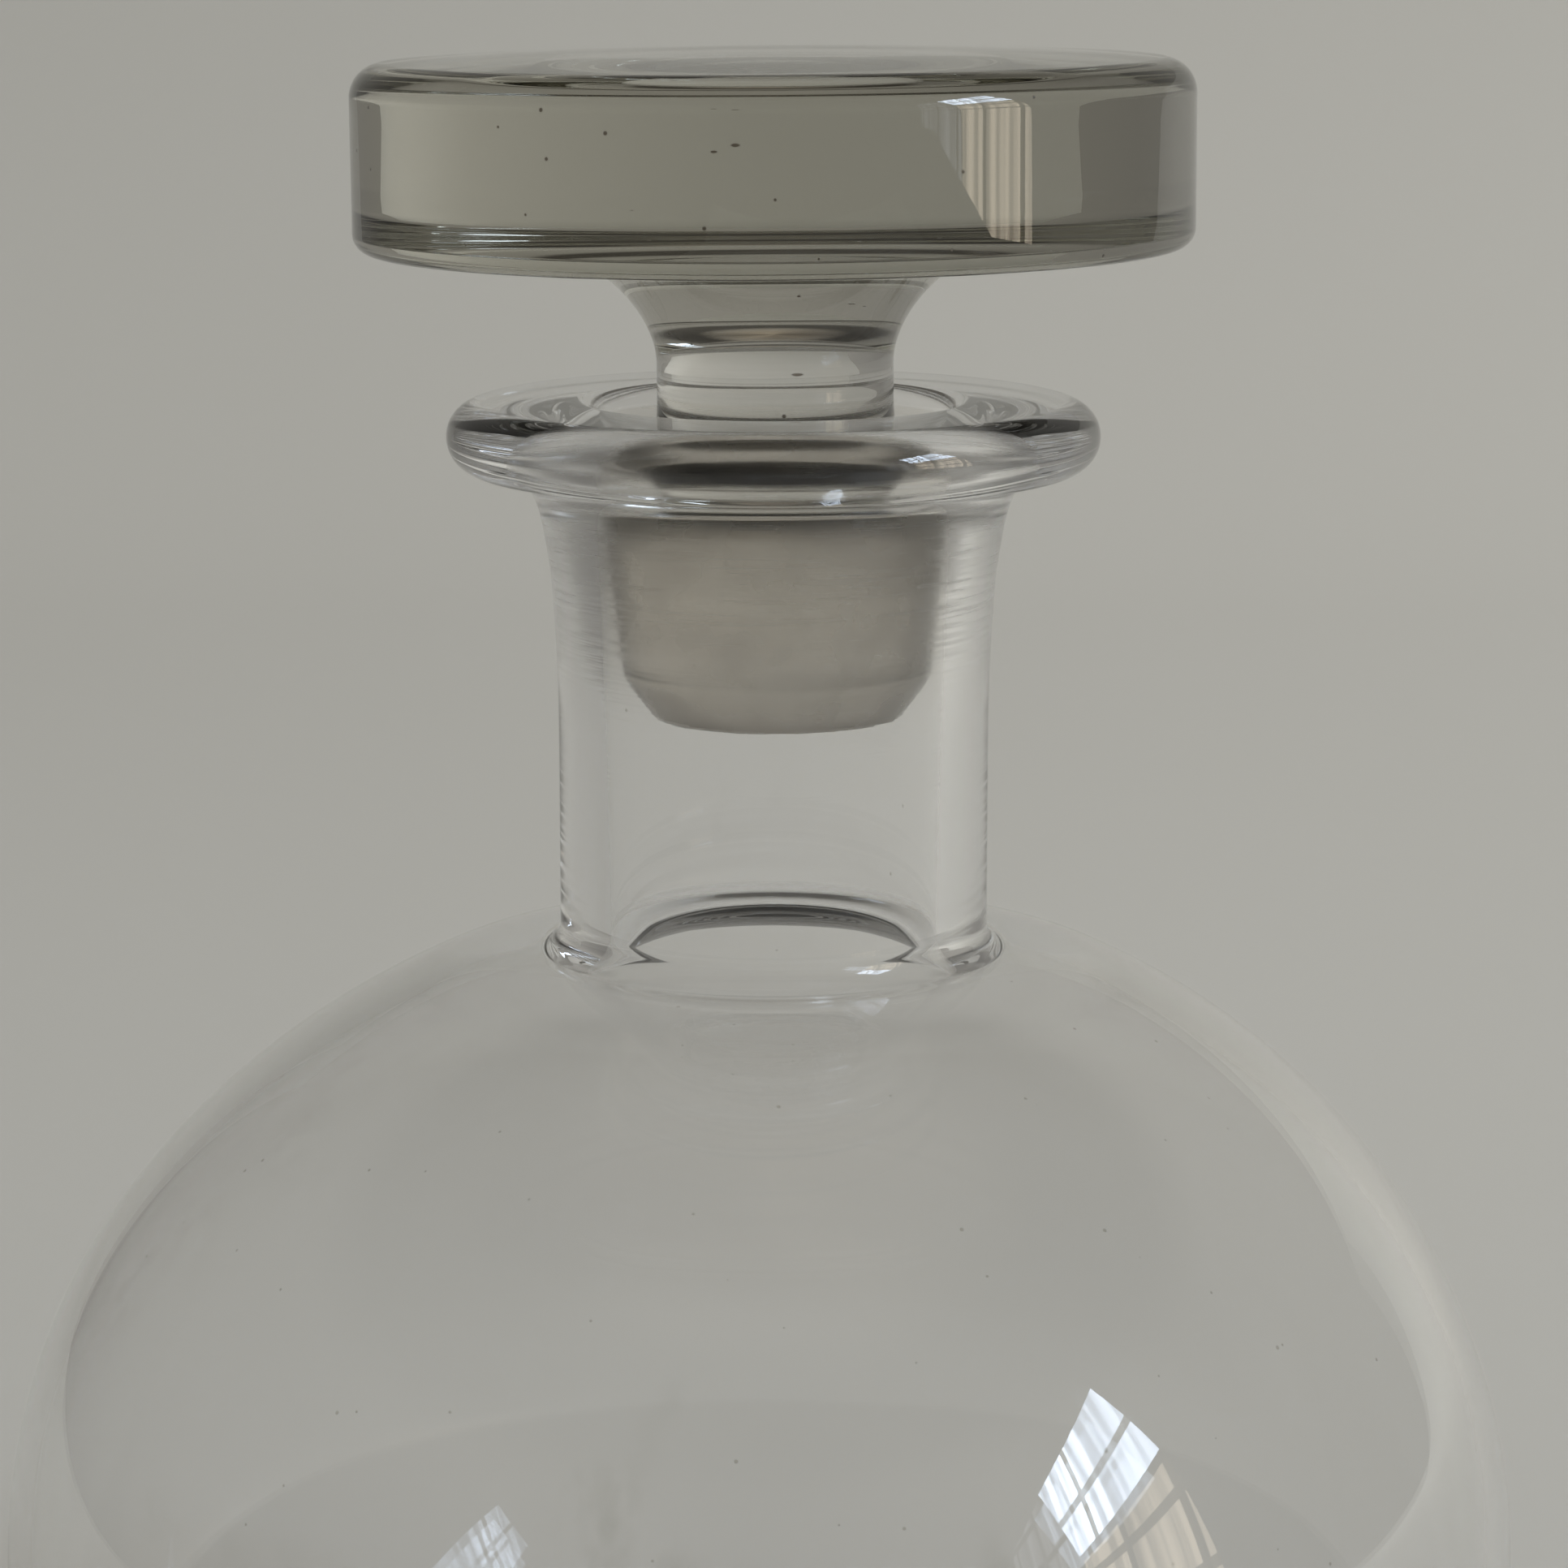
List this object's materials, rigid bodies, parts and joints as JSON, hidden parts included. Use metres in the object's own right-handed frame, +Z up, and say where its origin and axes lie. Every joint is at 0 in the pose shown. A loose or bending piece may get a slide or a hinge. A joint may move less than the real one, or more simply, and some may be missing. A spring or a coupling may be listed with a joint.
{
  "type": "wine decanter",
  "caption": "Round clear glass decanter with a wide flanged lip and a lift-out ground stopper of smoke-tinted glass with a thick disc head.",
  "frame": {"origin": "centre of the resting plane, under the middle of the foot", "axes": "+Z up along the axis of the body, neck and stopper; the piece is round, so +X and +Y are alike"},
  "size_m": [0.1358, 0.1358, 0.188],
  "materials": {
    "clear_glass": "fire-polished, clear",
    "smoke_glass": "polished, smoke tint, ground matt on the plug"
  },
  "bodies": {
    "bottle": {"bottle": "clear_glass"},
    "stopper": {"stopper": "smoke_glass"}
  },
  "joints": [
    {"name": "stopper_lift", "type": "slide", "parent": "bottle", "child": "stopper", "axis": [0, 0, 1], "range_m": [0, 0.045]}
  ]
}
